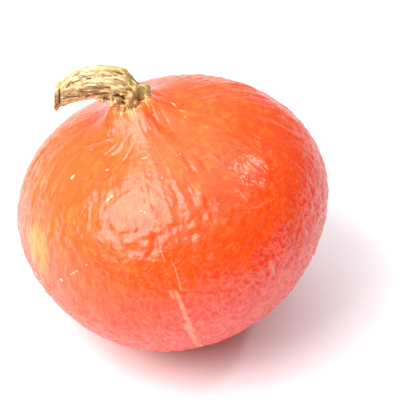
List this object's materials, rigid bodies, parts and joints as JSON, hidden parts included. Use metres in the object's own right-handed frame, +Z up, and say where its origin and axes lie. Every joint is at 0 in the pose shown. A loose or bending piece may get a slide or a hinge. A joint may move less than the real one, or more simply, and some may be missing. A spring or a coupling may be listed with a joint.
{
  "type": "winter squash",
  "caption": "Round onion-shaped winter squash with a thick curved dried stem, leaning on the flat ground spot on its underside.",
  "frame": {"origin": "middle of the flat ground spot, on the surface that the squash lies on", "axes": "+Z up, out of that surface; the stem axis leans 17 degrees from +Z towards -X, and the stem's tip points towards -X"},
  "size_m": [0.1781, 0.1792, 0.1714],
  "materials": {
    "rind": "satin orange-red rind, slightly waxy",
    "cork": "dry straw-coloured corky stem, fissured and matte"
  },
  "bodies": {
    "root": {"fruit": "rind", "stem": "cork"}
  },
  "joints": []
}
